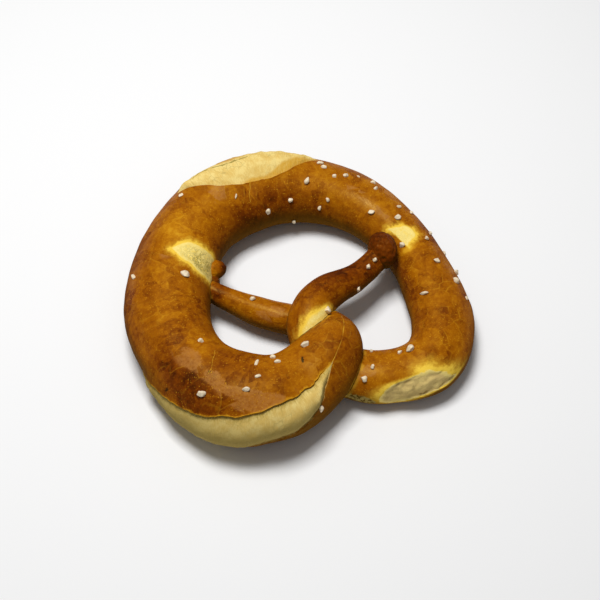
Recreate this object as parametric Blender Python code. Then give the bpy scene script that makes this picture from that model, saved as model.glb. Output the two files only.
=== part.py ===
"""Soft pretzel: a rope of lye dough, fat in the belly and thin at its two ends, twisted once and baked.

Metres, +Z up. The pretzel lies flat on z = 0 with its box centred on the origin. +Y points from the
knot to the top of the belly and +X points to the right lobe, as seen from above.
"""

import math

import bmesh
import bpy
import numpy as np
from mathutils import Vector

MM = 0.001
NAME = "pretzel"

# The rope
RING_SPACING = 5.0 * MM
SIDES = 36
CURVE_STEPS = 4000          # steps along which the route's length is measured
CURVE_TENSION = 0.75        # between 1, knots spaced by distance, and 0.5, which rounds tight bends
UNDERSIDE_DIP = 0.08        # share of a lying section's height that the baking tray flattens away
TRAY_SIZE = 0.30
TRAY_DEPTH = 0.02

# Route of the rope from the knob to the thin tip, by hand, in millimetres:
# x, y, height of the underside, width, height, and how far the section lies flat (1) or hangs free (0)
ROUTE = [
    # arm from the knob, down to the twist
    (46.2, 3.4, 14.2, 12.8, 11.6, 0),
    (29.3, -7.4, 12.5, 13.5, 13, 0),
    (9.2, -16.5, 12.5, 18, 17, 0),
    (1, -29, 11, 20.5, 17, 0),
    (4.5, -42, 3, 23, 18, 0.3),
    (15, -52, 0, 25, 19.5, 0.8),
    # right lobe
    (32, -58, 0, 26, 20, 1),
    (51, -56.2, 0, 28.5, 22.5, 1),
    (62.5, -40.6, 0, 29.5, 23, 1),
    (65.1, -15, 0, 28.5, 22.5, 1),
    (60, 16.2, 0, 27, 22, 1),
    (43, 43, 0, 31, 25, 1),
    # belly
    (20, 56.6, 0, 36, 28, 1),
    (-8, 59.3, 0, 40.5, 31, 1),
    (-34.8, 47.2, 0, 39.5, 31, 1),
    (-54, 18.5, 0, 40, 31, 1),
    # left lobe
    (-61, -10, 0, 39.5, 31, 1),
    (-56.2, -32.6, 0, 38.5, 31.5, 1),
    (-44.4, -50.4, 0, 42, 33, 1),
    (-25.9, -58.6, 0, 41, 33, 1),
    (-7, -54, 0, 36, 31, 0.8),
    # over the other strand, round under the first arm, and out to the thin tip
    (8.2, -42.5, 5.5, 29.2, 27, 0.1),
    (10.8, -29.4, 6, 18, 18, 0),
    (1, -20, 3, 15, 15, 0),
    (-14, -11, 2.5, 15, 14.5, 0),
    (-28, -0.5, 5, 12, 12, 0),
    (-41, 10, 9, 9, 9.5, 0),
]

# Splits in the crust: distance along the rope in millimetres, then the angles of the two lips round
# the section in degrees, where 0 is the outer side, 90 the top and 180 the inner side
BELLY_SPLIT = [
    (256, 50, 50),
    (262, 46, 71),
    (271, 35, 94),
    (285, 24, 107),
    (299, 28, 101),
    (309, 34, 86),
    (319, 45, 45),
]
LOBE_SPLIT = [
    (398, -8, -8),
    (405, -24, 0),
    (415, -37, 12),
    (428.5, -42, 27),
    (440, -32, 39),
    (448, -12, 49.5),
    (458, 8, 57),
    (466, 28, 61),
    (474, 48, 63),
    (482, 64, 64),
]
SPLIT_SINK = 0.6 * MM       # how far the open crumb lies below the lip of the crust
SPLIT_BULGE = 3.0 * MM      # how far its middle swells back out
SPLIT_FULL = 8.0 * MM       # opening at which a split has its whole depth
LIP_RISE = 0.7 * MM
LIP_WIDTH = 5.0 * MM
LIP_HALF_STEP = math.radians(1.2)   # the step from crust to crumb is twice this wide
LIP_RUN_OUT = 30.0 * MM     # distance past a split's end over which the corners go back
BASE_FOLLOWS = 0.5          # share of a lower lip's shift that a section's bottom corner takes too

# Crumb laid bare where the right lobe was torn from its neighbour
TORN_FROM, TORN_TO = 101.0, 128.0
TORN_ANGLES = (-14.0, 54.0)
TORN_DEPTH = 1.1 * MM
TORN_STEEPNESS = 3.0        # how soon the dish reaches its whole depth from the rim

# Ends of the rope
KNOB_PLACE = (46.1 * MM, 3.1 * MM, 21.5 * MM)
KNOB_RADII = (7.2 * MM, 10.1 * MM, 8.2 * MM)
NUB_PLACE = (-32.9 * MM, 16.6 * MM, 16.2 * MM)
NUB_RADII = (5.6 * MM, 5.0 * MM, 4.6 * MM)
NUB_FOLD_PLACE = (-36.2 * MM, 12.8 * MM, 13.0 * MM)     # the fold of dough that joins the nub and its arm
NUB_FOLD_RADII = (4.4 * MM, 5.2 * MM, 5.2 * MM)
BALL_SEGMENTS, BALL_RINGS = 20, 12

CRUST_COLOUR = (0.36, 0.13, 0.03, 1.0)
CRUST_ROUGHNESS = 0.35


def clear_scene():
    """Removes whatever objects the file holds."""
    for obj in list(bpy.data.objects):
        bpy.data.objects.remove(obj, do_unlink=True)


def new_collection(name):
    """Adds a collection to the scene."""
    collection = bpy.data.collections.new(name)
    bpy.context.scene.collection.children.link(collection)
    return collection


def cubic_through(knots, values, places):
    """Natural cubic curve through values at knots, read at places."""
    knots = np.asarray(knots, float)
    values = np.asarray(values, float)
    count = len(knots)
    gap = np.diff(knots)
    system = np.eye(count)
    right = np.zeros_like(values)
    for i in range(1, count - 1):
        system[i, i - 1 : i + 2] = gap[i - 1], 2 * (gap[i - 1] + gap[i]), gap[i]
        rise = (values[i + 1] - values[i]) / gap[i] - (values[i] - values[i - 1]) / gap[i - 1]
        right[i] = 6 * rise
    bend = np.linalg.solve(system, right)
    k = np.clip(np.searchsorted(knots, places, side="right") - 1, 0, count - 2)
    before = (places - knots[k])[:, None]
    after = (knots[k + 1] - places)[:, None]
    width = gap[k][:, None]
    curve = (bend[k] * after**3 + bend[k + 1] * before**3) / (6 * width)
    curve += (values[k] / width - bend[k] * width / 6) * after
    return curve + (values[k + 1] / width - bend[k + 1] * width / 6) * before


def even_stations(route, spacing):
    """Reads the route as one smooth curve, at evenly spaced stations, in metres."""
    points = np.array(route, float)
    points[:, :5] *= MM
    steps = np.linalg.norm(np.diff(points[:, :3], axis=0), axis=1)
    knots = np.concatenate(([0.0], np.cumsum(steps**CURVE_TENSION)))
    fine_knots = np.linspace(0.0, knots[-1], CURVE_STEPS)
    fine = cubic_through(knots, points, fine_knots)
    steps = np.linalg.norm(np.diff(fine[:, :3], axis=0), axis=1)
    length = np.concatenate(([0.0], np.cumsum(steps)))
    count = int(length[-1] / spacing) + 1
    along = np.linspace(0.0, length[-1], count)
    return along, cubic_through(knots, points, np.interp(along, length, fine_knots))


def split_lips(split, along):
    """Angles of a split's lower and upper lip at a distance along the rope, and the distance outside it."""
    rows = np.array(split, float)
    first, last = rows[0, 0] * MM, rows[-1, 0] * MM
    place = min(max(along, first), last)
    lower, upper = cubic_through(rows[:, 0] * MM, rows[:, 1:], np.array([place]))[0]
    return math.radians(lower), math.radians(max(upper, lower)), abs(along - place)


def ring_angles(along):
    """Angles of a ring's corners: even, but drawn close to both sides of a split's lips."""
    even = 2 * math.pi / SIDES
    angles = even * np.arange(-SIDES // 4, SIDES - SIDES // 4)
    for split in (BELLY_SPLIT, LOBE_SPLIT):
        lower, upper, outside = split_lips(split, along)
        share = max(0.0, 1 - outside / LIP_RUN_OUT)
        if share == 0.0:
            continue
        rows = np.radians(np.array(split, float)[:, 1:])
        low_corner, high_corner = np.round(rows.mean(axis=0) / even) * even
        upper = max(upper, lower + 4 * LIP_HALF_STEP)
        base_shift = BASE_FOLLOWS * (lower - low_corner)
        corners = (angles[0], low_corner - even, low_corner, high_corner, high_corner + even, angles[-1])
        drawn = (
            angles[0] + base_shift,
            lower - LIP_HALF_STEP,
            lower + LIP_HALF_STEP,
            upper - LIP_HALF_STEP,
            upper + LIP_HALF_STEP,
            angles[-1] + base_shift,
        )
        moved = np.interp(angles, corners, drawn)
        angles = angles + share * (moved - angles)
    return angles


def split_relief(split, along, angle, radius):
    """How far the surface stands out at a split: sunk crumb with a swollen middle, and raised lips."""
    lower, upper, outside = split_lips(split, along)
    if outside > 0:
        return 0.0
    depth = min(1.0, (upper - lower) * radius / SPLIT_FULL)
    if lower < angle < upper:
        across = (angle - lower) / (upper - lower)
        return depth * (SPLIT_BULGE * math.sin(math.pi * across) - SPLIT_SINK)
    apart = min(abs(angle - lower), abs(angle - upper)) * radius
    return depth * LIP_RISE * max(0.0, 1 - apart / LIP_WIDTH)


def torn_relief(along, angle):
    """How far the torn patch is dished below the crust."""
    span = (along / MM - TORN_FROM) / (TORN_TO - TORN_FROM)
    low, high = TORN_ANGLES
    across = (math.degrees(angle) - low) / (high - low)
    if not (0 < span < 1 and 0 < across < 1):
        return 0.0
    from_rim = TORN_STEEPNESS * math.sin(math.pi * span) * math.sin(math.pi * across)
    return -TORN_DEPTH * min(1.0, from_rim)


def section(centre, side, up, station, along):
    """One ring of the rope: an oval with a dip below the tray, and the relief of its crust."""
    width, height, lying = station[3] / 2, station[4] / 2, min(max(station[5], 0.0), 1.0)
    oval_height = height / (1 - UNDERSIDE_DIP * lying)
    drop = oval_height - height
    ring = []
    for angle in ring_angles(along):
        out = Vector((math.cos(angle) / width, math.sin(angle) / oval_height)).normalized()
        relief = torn_relief(along, angle)
        for split in (BELLY_SPLIT, LOBE_SPLIT):
            relief += split_relief(split, along, angle, (width + height) / 2)
        across = width * math.cos(angle) + relief * out.x
        above = oval_height * math.sin(angle) - drop + relief * out.y
        ring.append(centre + side * across + up * above)
    return ring


def rope_rings():
    """All rings of the rope, from the knob's end to the thin tip."""
    along, stations = even_stations(ROUTE, RING_SPACING)
    centres = stations[:, :3].copy()
    centres[:, 2] += stations[:, 4] / 2
    travel = np.gradient(centres, axis=0)
    rings = []
    for i in range(len(stations)):
        tangent = Vector(travel[i]).normalized()
        side = tangent.cross(Vector((0, 0, 1))).normalized()
        up = side.cross(tangent)
        rings.append(section(Vector(centres[i]), side, up, stations[i], along[i]))
    return rings


def loft(rings, name):
    """Closed mesh through rings of equal count, with flat ends."""
    bm = bmesh.new()
    loops = [[bm.verts.new(point) for point in ring] for ring in rings]
    for first, second in zip(loops, loops[1:]):
        for i in range(len(first)):
            j = (i + 1) % len(first)
            bm.faces.new((first[i], first[j], second[j], second[i]))
    bm.faces.new(list(reversed(loops[0])))
    bm.faces.new(loops[-1])
    bmesh.ops.recalc_face_normals(bm, faces=bm.faces)
    bmesh.ops.triangulate(bm, faces=bm.faces, quad_method="SHORT_EDGE")
    mesh = bpy.data.meshes.new(name)
    bm.to_mesh(mesh)
    bm.free()
    return mesh


def ball(name, place, radii, collection):
    """An oval lump of dough that the rope is joined to."""
    bpy.ops.mesh.primitive_uv_sphere_add(
        segments=BALL_SEGMENTS, ring_count=BALL_RINGS, radius=1.0, location=place
    )
    lump = bpy.context.object
    lump.name = name
    lump.scale = radii
    bpy.ops.object.transform_apply(location=False, rotation=False, scale=True)
    return as_guide(lump, collection)


def tray(collection):
    """The slab of the baking tray that flattens the underside."""
    bpy.ops.mesh.primitive_cube_add(size=1.0, location=(0, 0, -TRAY_DEPTH / 2))
    slab = bpy.context.object
    slab.name = "tray"
    slab.scale = (TRAY_SIZE, TRAY_SIZE, TRAY_DEPTH)
    bpy.ops.object.transform_apply(location=False, rotation=False, scale=True)
    return as_guide(slab, collection)


def as_guide(obj, collection):
    """Moves a helper object to the cutters' collection and keeps it out of renders."""
    for holder in list(obj.users_collection):
        holder.objects.unlink(obj)
    collection.objects.link(obj)
    obj.hide_render = True
    obj.display_type = "WIRE"
    return obj


def join_or_cut(obj, other, operation):
    """Adds an exact Boolean of obj with another object."""
    boolean = obj.modifiers.new(f"{operation.lower()}_{other.name}", "BOOLEAN")
    boolean.operation = operation
    boolean.object = other
    boolean.solver = "EXACT"
    boolean.use_self = operation == "UNION"


def crust():
    """Browned lye crust."""
    material = bpy.data.materials.new("crust")
    material.use_nodes = True
    shader = material.node_tree.nodes["Principled BSDF"]
    shader.inputs["Base Color"].default_value = CRUST_COLOUR
    shader.inputs["Roughness"].default_value = CRUST_ROUGHNESS
    shader.inputs["Metallic"].default_value = 0.0
    return material


def main():
    clear_scene()
    parts = new_collection(NAME)
    cutters = new_collection("cutters")
    pretzel = bpy.data.objects.new(NAME, loft(rope_rings(), NAME))
    parts.objects.link(pretzel)
    pretzel.data.materials.append(crust())
    pretzel.data.shade_smooth()
    join_or_cut(pretzel, ball("knob", KNOB_PLACE, KNOB_RADII, cutters), "UNION")
    join_or_cut(pretzel, ball("nub", NUB_PLACE, NUB_RADII, cutters), "UNION")
    join_or_cut(pretzel, ball("nub_fold", NUB_FOLD_PLACE, NUB_FOLD_RADII, cutters), "UNION")
    join_or_cut(pretzel, tray(cutters), "DIFFERENCE")


main()
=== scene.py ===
"""The looks of a soft pretzel: glossy lye-browned crust, torn open in the oven, and coarse salt.

Metres, +Z up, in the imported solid's frame: the pretzel lies on z = 0, its box centred on the origin.
"""

import math

import bmesh
import bpy
import numpy as np
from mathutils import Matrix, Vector, kdtree, noise


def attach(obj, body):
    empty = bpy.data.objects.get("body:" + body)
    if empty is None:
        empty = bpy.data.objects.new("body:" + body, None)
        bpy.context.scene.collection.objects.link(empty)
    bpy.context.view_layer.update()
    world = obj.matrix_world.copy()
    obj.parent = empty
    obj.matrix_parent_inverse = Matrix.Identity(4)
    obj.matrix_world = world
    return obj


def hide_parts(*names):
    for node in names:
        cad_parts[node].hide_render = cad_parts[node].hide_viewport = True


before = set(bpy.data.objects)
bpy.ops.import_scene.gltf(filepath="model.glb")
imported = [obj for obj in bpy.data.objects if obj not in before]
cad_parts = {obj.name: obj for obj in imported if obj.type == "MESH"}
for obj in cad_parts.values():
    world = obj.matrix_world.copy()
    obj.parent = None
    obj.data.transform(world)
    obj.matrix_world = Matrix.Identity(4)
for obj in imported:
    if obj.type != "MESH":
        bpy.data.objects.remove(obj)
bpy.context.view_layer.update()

# The rope of dough.
# One piece of wheat dough, rolled fat in its middle and thin at its ends, looped once over itself and
# laid on a tray to bake. Places on it are told by the distance along it from the knob, in millimetres,
# and the angle round it in degrees: 0 is its outer side, 90 its top and 180 its inner side.
MM = 0.001
ROPE_ROUTE = [  # x, y, height of the underside, width, height, and how far it lies flat
    # arm from the knob, down to the twist
    (46.2, 3.4, 14.2, 12.8, 11.6, 0),
    (29.3, -7.4, 12.5, 13.5, 13, 0),
    (9.2, -16.5, 12.5, 18, 17, 0),
    (1, -29, 11, 20.5, 17, 0),
    (4.5, -42, 3, 23, 18, 0.3),
    (15, -52, 0, 25, 19.5, 0.8),
    # right lobe
    (32, -58, 0, 26, 20, 1),
    (51, -56.2, 0, 28.5, 22.5, 1),
    (62.5, -40.6, 0, 29.5, 23, 1),
    (65.1, -15, 0, 28.5, 22.5, 1),
    (60, 16.2, 0, 27, 22, 1),
    (43, 43, 0, 31, 25, 1),
    # belly
    (20, 56.6, 0, 36, 28, 1),
    (-8, 59.3, 0, 40.5, 31, 1),
    (-34.8, 47.2, 0, 39.5, 31, 1),
    (-54, 18.5, 0, 40, 31, 1),
    # left lobe
    (-61, -10, 0, 39.5, 31, 1),
    (-56.2, -32.6, 0, 38.5, 31.5, 1),
    (-44.4, -50.4, 0, 42, 33, 1),
    (-25.9, -58.6, 0, 41, 33, 1),
    (-7, -54, 0, 36, 31, 0.8),
    # over the other strand, round under the first arm, and out to the thin tip
    (8.2, -42.5, 5.5, 29.2, 27, 0.1),
    (10.8, -29.4, 6, 18, 18, 0),
    (1, -20, 3, 15, 15, 0),
    (-14, -11, 2.5, 15, 14.5, 0),
    (-28, -0.5, 5, 12, 12, 0),
    (-41, 10, 9, 9, 9.5, 0),
]
CURVE_STEPS = 4000
CURVE_TENSION = 0.75
RING_SPACING = 0.95 * MM
SIDES = 140
UNDERSIDE_DIP = 0.08

# Where the crust burst: distance along the rope, then the angles of the lower and the upper lip
BELLY_SPLIT = [
    (256, 50, 50),
    (262, 46, 71),
    (271, 35, 94),
    (285, 24, 107),
    (299, 28, 101),
    (309, 34, 86),
    (319, 45, 45),
]
LOBE_SPLIT = [
    (398, -8, -8),
    (405, -24, 0),
    (415, -37, 12),
    (428.5, -42, 27),
    (440, -32, 39),
    (448, -12, 49.5),
    (458, 8, 57),
    (466, 28, 61),
    (474, 48, 63),
    (482, 64, 64),
]
SPLIT_SINK = 0.6 * MM
SPLIT_BULGE = 3.0 * MM
SPLIT_FULL = 8.0 * MM
LIP_RISE = 0.7 * MM
LIP_WIDTH = 5.0 * MM
LIP_HALF_STEP = math.radians(0.3)
LIP_RUN_OUT = 30.0 * MM
BASE_FOLLOWS = 0.5
LIP_WANDER = {"belly": 0.25 * MM, "lobe": 0.6 * MM}    # how ragged each torn lip is
WANDER_LENGTH = 5.0 * MM

# Bare crumb where the right lobe was torn from its neighbour: angle, then from and to along the rope
TORN_PATCH = [
    (-14, 105, 110),
    (-8, 102, 112),
    (2, 101, 117),
    (8, 100.8, 125.5),
    (20, 101.5, 127),
    (32, 103, 126),
    (40, 104.5, 125),
    (51, 110, 122.5),
    (59, 118, 121),
]
TORN_DEPTH = 1.1 * MM
TORN_RIM = 2.8 * MM

# Stretch marks, where strands pulled the skin thin and it stayed pale: angle, then from and to
STRETCH_MARKS = [
    [(90, 350.5, 351), (100, 347, 353.5), (107, 345, 355.5), (118, 344, 356.5), (134, 344, 359.5),
     (151, 344, 360), (165, 346, 360), (178, 352, 357)],
    [(80, 195.5, 198.5), (85, 194, 201.5), (93, 193, 203), (101, 192, 203.8), (108, 191, 205),
     (114, 192.5, 205.7), (119, 203, 206.5), (124, 205.5, 207)],
    [(52, 62, 65), (64, 59.7, 67), (80, 57.3, 69.5), (93, 55.2, 70), (112, 53, 68), (132, 49, 65),
     (150, 46.3, 61), (162, 45.5, 55)],
]


def cubic_through(knots, values, places):
    """Natural cubic curve through values at knots, read at places."""
    knots = np.asarray(knots, float)
    values = np.asarray(values, float)
    count = len(knots)
    gap = np.diff(knots)
    system = np.eye(count)
    right = np.zeros_like(values)
    for i in range(1, count - 1):
        system[i, i - 1 : i + 2] = gap[i - 1], 2 * (gap[i - 1] + gap[i]), gap[i]
        rise = (values[i + 1] - values[i]) / gap[i] - (values[i] - values[i - 1]) / gap[i - 1]
        right[i] = 6 * rise
    bend = np.linalg.solve(system, right)
    k = np.clip(np.searchsorted(knots, places, side="right") - 1, 0, count - 2)
    before = (places - knots[k])[:, None]
    after = (knots[k + 1] - places)[:, None]
    width = gap[k][:, None]
    curve = (bend[k] * after**3 + bend[k + 1] * before**3) / (6 * width)
    curve += (values[k] / width - bend[k] * width / 6) * after
    return curve + (values[k + 1] / width - bend[k + 1] * width / 6) * before


def even_stations(route, spacing):
    """Reads the route as one smooth curve, at evenly spaced stations, in metres."""
    points = np.array(route, float)
    points[:, :5] *= MM
    steps = np.linalg.norm(np.diff(points[:, :3], axis=0), axis=1)
    knots = np.concatenate(([0.0], np.cumsum(steps**CURVE_TENSION)))
    fine_knots = np.linspace(0.0, knots[-1], CURVE_STEPS)
    fine = cubic_through(knots, points, fine_knots)
    steps = np.linalg.norm(np.diff(fine[:, :3], axis=0), axis=1)
    length = np.concatenate(([0.0], np.cumsum(steps)))
    count = int(length[-1] / spacing) + 1
    along = np.linspace(0.0, length[-1], count)
    return along, cubic_through(knots, points, np.interp(along, length, fine_knots))


def smooth_step(share):
    """Eases from 0 to 1 as share does."""
    share = np.clip(share, 0.0, 1.0)
    return share * share * (3 - 2 * share)


along, stations = even_stations(ROPE_ROUTE, RING_SPACING)
centres = stations[:, :3].copy()
centres[:, 2] += stations[:, 4] / 2
travel = np.gradient(centres, axis=0)
travel /= np.linalg.norm(travel, axis=1)[:, None]
sideways = np.cross(travel, (0.0, 0.0, 1.0))
sideways /= np.linalg.norm(sideways, axis=1)[:, None]
upwards = np.cross(sideways, travel)
half_width, half_height = stations[:, 3] / 2, stations[:, 4] / 2
lying = np.clip(stations[:, 5], 0.0, 1.0)
rope_radius = (half_width + half_height) / 2


def read_along(table, places):
    """Reads a table of the stations at distances along the rope."""
    if table.ndim == 1:
        return np.interp(places, along, table)
    return np.stack([np.interp(places, along, column) for column in table.T], axis=-1)


def wander(places, seed, length):
    """An even random line along the rope, about -1 to 1."""
    return np.array([noise.noise(Vector((p / length, seed, 0.5))) * 2 for p in places])


ragged = {
    name: [
        size * (wander(along, seed, WANDER_LENGTH) + wander(along, seed + 7.3, WANDER_LENGTH / 3) / 2)
        for seed in (first, first + 31.7)
    ]
    for first, (name, size) in enumerate(LIP_WANDER.items())
}


def split_lips(name, split):
    """Angles of a split's lower and upper lip at every station, and the distance past its ends."""
    rows = np.array(split, float)
    inside = np.clip(along, rows[0, 0] * MM, rows[-1, 0] * MM)
    lower, upper = np.radians(cubic_through(rows[:, 0] * MM, rows[:, 1:], inside)).T
    upper = np.maximum(upper, lower)
    torn_share = smooth_step((upper - lower) * rope_radius / SPLIT_FULL)
    lower = lower + torn_share * ragged[name][0] / rope_radius
    upper = upper + torn_share * ragged[name][1] / rope_radius
    return lower, upper, abs(along - inside)


SPLITS = {"belly": BELLY_SPLIT, "lobe": LOBE_SPLIT}
lips = {name: split_lips(name, split) for name, split in SPLITS.items()}


def corner_angles():
    """Angles of every ring's corners: even, but drawn close to both sides of a split's lips."""
    even = 2 * math.pi / SIDES
    angles = even * np.arange(-SIDES // 4, SIDES - SIDES // 4 + 1)
    rings = np.tile(angles, (len(along), 1))
    for name, split in SPLITS.items():
        lower, upper, outside = lips[name]
        upper = np.maximum(upper, lower + 4 * LIP_HALF_STEP)
        share = smooth_step(1 - outside / LIP_RUN_OUT)
        rows = np.radians(np.array(split, float)[:, 1:])
        low, high = np.round(rows.mean(axis=0) / even) * even
        corners = (angles[0], low - even, low, high, high + even, angles[-1])
        for i in np.flatnonzero(share):
            base_shift = BASE_FOLLOWS * (lower[i] - low)
            drawn = (
                angles[0] + base_shift,
                lower[i] - LIP_HALF_STEP,
                lower[i] + LIP_HALF_STEP,
                upper[i] - LIP_HALF_STEP,
                upper[i] + LIP_HALF_STEP,
                angles[-1] + base_shift,
            )
            rings[i] += share[i] * (np.interp(angles, corners, drawn) - rings[i])
    return rings


def split_relief(name, places, angles):
    """How far the surface stands out at a split: sunk crumb with a swollen middle, and raised lips."""
    lower, upper, outside = (read_along(table, places) for table in lips[name])
    radius = read_along(rope_radius, places)
    width = np.maximum(upper - lower, 1e-6)
    depth = smooth_step(width * radius / SPLIT_FULL) * (outside == 0)
    across = (angles - lower) / width
    inside = (across > 0) & (across < 1)
    crumb = SPLIT_BULGE * np.sin(math.pi * np.clip(across, 0, 1)) - SPLIT_SINK
    apart = np.minimum(abs(angles - lower), abs(angles - upper)) * radius
    lip = LIP_RISE * np.clip(1 - apart / LIP_WIDTH, 0, 1) ** 1.5
    return depth * np.where(inside, crumb, lip)


def patch_depth(rows, places, angles):
    """Distance in metres inside a patch told as rows round the rope; negative outside it."""
    rows = np.array(rows, float)
    radius = read_along(rope_radius, places)
    first, last = np.radians(rows[0, 0]), np.radians(rows[-1, 0])
    within = np.clip(angles, first, last)
    start, stop = (cubic_through(np.radians(rows[:, 0]), rows[:, 1:], within.ravel()) * MM).T
    start, stop = start.reshape(within.shape), stop.reshape(within.shape)
    beside = np.minimum(places - start, stop - places)
    beyond = np.minimum(angles - first, last - angles) * radius
    outside = -np.hypot(np.minimum(beside, 0), np.minimum(beyond, 0))
    return np.where((beside > 0) & (beyond > 0), np.minimum(beside, beyond), outside)


def rope_surface(places, angles, relief=0.0):
    """Points of the rope at distances along it and angles round it, standing out by relief."""
    width, height = read_along(half_width, places), read_along(half_height, places)
    oval_height = height / (1 - UNDERSIDE_DIP * read_along(lying, places))
    out_x, out_y = np.cos(angles) / width, np.sin(angles) / oval_height
    size = np.hypot(out_x, out_y)
    across = width * np.cos(angles) + relief * out_x / size
    above = oval_height * (np.sin(angles) - 1) + height + relief * out_y / size
    centre, side, up = (read_along(table, places) for table in (centres, sideways, upwards))
    return centre + side * across[..., None] + up * above[..., None]


def crust_relief(places, angles):
    """All that stands out of or sinks into the plain rope."""
    relief = sum(split_relief(name, places, angles) for name in SPLITS)
    torn = patch_depth(TORN_PATCH, places, angles)
    return relief - TORN_DEPTH * smooth_step(torn / TORN_RIM)


angles = corner_angles()
places = np.repeat(along[:, None], angles.shape[1], axis=1)
points = rope_surface(places, angles, crust_relief(places, angles))


def wrapped_grid(points, places, angles):
    """A grid rolled into a closed tube, with its distance along and angle round in the UV map."""
    bm = bmesh.new()
    rows, columns = places.shape
    bmesh.ops.create_grid(bm, x_segments=columns - 1, y_segments=rows - 1, size=1.0)
    rolled = points.reshape(-1, 3)
    chart = np.stack((places, angles), axis=-1).reshape(-1, 2)
    for vert, point in zip(bm.verts, rolled):
        vert.co = point
    bm.verts.index_update()
    layer = bm.loops.layers.uv.new("rope")
    for face in bm.faces:
        for loop in face.loops:
            loop[layer].uv = chart[loop.vert.index]
    bmesh.ops.remove_doubles(bm, verts=bm.verts, dist=1e-7)
    bmesh.ops.holes_fill(bm, edges=bm.edges, sides=0)
    bmesh.ops.recalc_face_normals(bm, faces=bm.faces)
    return bm


def mesh_from(bm, name):
    """A new mesh of all that bm holds; bm is let go."""
    mesh = bpy.data.meshes.new(name)
    bm.to_mesh(mesh)
    bm.free()
    return mesh


def placed(name, data):
    """A new object in the scene, at the origin."""
    made = bpy.data.objects.new(name, data)
    bpy.context.scene.collection.objects.link(made)
    return made


pretzel = placed("crust_and_crumb", mesh_from(wrapped_grid(points, places, angles), "crust_and_crumb"))

# The two ends of the rope.
# The thick end swelled into a dark knob on the belly's shoulder. The thin end was pressed on under the
# other shoulder: its tip shows as a small nub with a fold below. All grew together with the belly.
# Each is told apart from the rope by its mark, a distance along that the rope hasn't. Then for each:
# place and radii in mm, how much wider its far end is, and how deep its wrinkles are
KNOB_MARK, NUB_MARK, FOLD_MARK = -5.0, -60.0, -90.0
KNOB = ((46.1, 3.1, 21.5), (7.2, 10.1, 8.2), 0.14, 0.95, KNOB_MARK)
NUB = ((-34.9, 16.6, 16), (7.6, 5.2, 4.8), 0.0, 0.4, NUB_MARK)
NUB_FOLD = ((-36.2, 12.8, 13), (4.4, 5.2, 5.2), 0.0, 0.3, FOLD_MARK)
WRINKLE_LENGTH = 3.2 * MM
WRINKLE_SEED = Vector((3, 1, 4))
BALL_SIDES, BALL_ROWS = 72, 46


def dough_ball(bm, place, radii, taper, wrinkle, mark):
    """One wrinkled oval lump of dough, with its mark in the UV map."""
    made = bmesh.ops.create_uvsphere(
        bm, u_segments=BALL_SIDES, v_segments=BALL_ROWS, radius=1.0
    )["verts"]
    for vert in made:
        direction = vert.co.normalized()
        point = Vector(a * b * MM for a, b in zip(direction, radii))
        point.x *= 1 + taper * direction.y
        fold = noise.fractal(point / WRINKLE_LENGTH + WRINKLE_SEED, 1.0, 2.0, 3)
        vert.co = Vector(place) * MM + point - direction * wrinkle * MM * abs(fold)
    layer = bm.loops.layers.uv.verify()
    for face in {face for vert in made for face in vert.link_faces}:
        for loop in face.loops:
            loop[layer].uv = (mark * MM, 0.0)


def dough_ends():
    """Both ends as one object, for the union with the rope."""
    bm = bmesh.new()
    bm.loops.layers.uv.new("rope")
    for end in (KNOB, NUB, NUB_FOLD):
        dough_ball(bm, *end)
    return placed("rope_ends", mesh_from(bm, "rope_ends"))


def grown_together(rope, ends):
    """The outer skin of the rope and its ends, where they touch one another taken as one body."""
    union = rope.modifiers.new("grown_together", "BOOLEAN")
    union.operation = "UNION"
    union.solver = "EXACT"
    union.use_self = True
    union.object = ends
    graph = bpy.context.evaluated_depsgraph_get()
    skin = bpy.data.meshes.new_from_object(rope.evaluated_get(graph))
    rope.modifiers.clear()
    rope.data = skin
    bpy.data.objects.remove(ends)


grown_together(pretzel, dough_ends())

# The crust's and the crumb's own unevenness.
# Dough rises in soft lumps; the tray presses the underside flat; crumb that tore open is rough.
LUMPS = [(26 * MM, 0.45 * MM), (9 * MM, 0.14 * MM)]     # size across and height of each kind
CRUMB_GRAIN = [(3.2 * MM, 0.22 * MM), (1.5 * MM, 0.12 * MM)]
TORN_GRAIN = [(6 * MM, 0.45 * MM), (3 * MM, 0.4 * MM), (1.6 * MM, 0.35 * MM)]
LUMP_SEED, CRUMB_SEED, TORN_SEED = 5.0, 9.0, 13.0
CRUMB_EDGE = 1.5 * MM       # how far in from its edge crumb is at its roughest
UNDERSIDE_EASE = 0.8 * MM
FAR_ABOVE = 20              # so many eases up, the underside's flattening no longer counts


def rope_chart(mesh):
    """Distance along and angle round the rope at every face corner, and the corner's vertex."""
    count = len(mesh.loops)
    chart, vertex = np.zeros(2 * count), np.zeros(count, int)
    mesh.uv_layers["rope"].uv.foreach_get("vector", chart)
    mesh.loops.foreach_get("vertex_index", vertex)
    return *chart.reshape(-1, 2).T, vertex


def split_depth(name, places, angles):
    """Distance in metres inside a split's opening; negative outside it."""
    lower, upper, outside = (read_along(table, places) for table in lips[name])
    radius = read_along(rope_radius, places)
    inside = np.minimum(angles - lower, upper - angles) * radius
    return np.where(outside > 0, -np.hypot(outside, np.minimum(inside, 0)), inside)


def roughness_at(points, grains, seed):
    """Even random height at points, the sum of grains of several sizes."""
    height = np.zeros(len(points))
    for size, rise in grains:
        height += [noise.noise(Vector(p) / size + Vector((seed, 0, 0))) * 2 * rise for p in points]
    return height


def vertex_mean(values, vertex, count):
    """The mean at every vertex of values told at its face corners."""
    share = np.bincount(vertex, minlength=count)
    return np.bincount(vertex, values, minlength=count) / np.maximum(share, 1)


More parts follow.
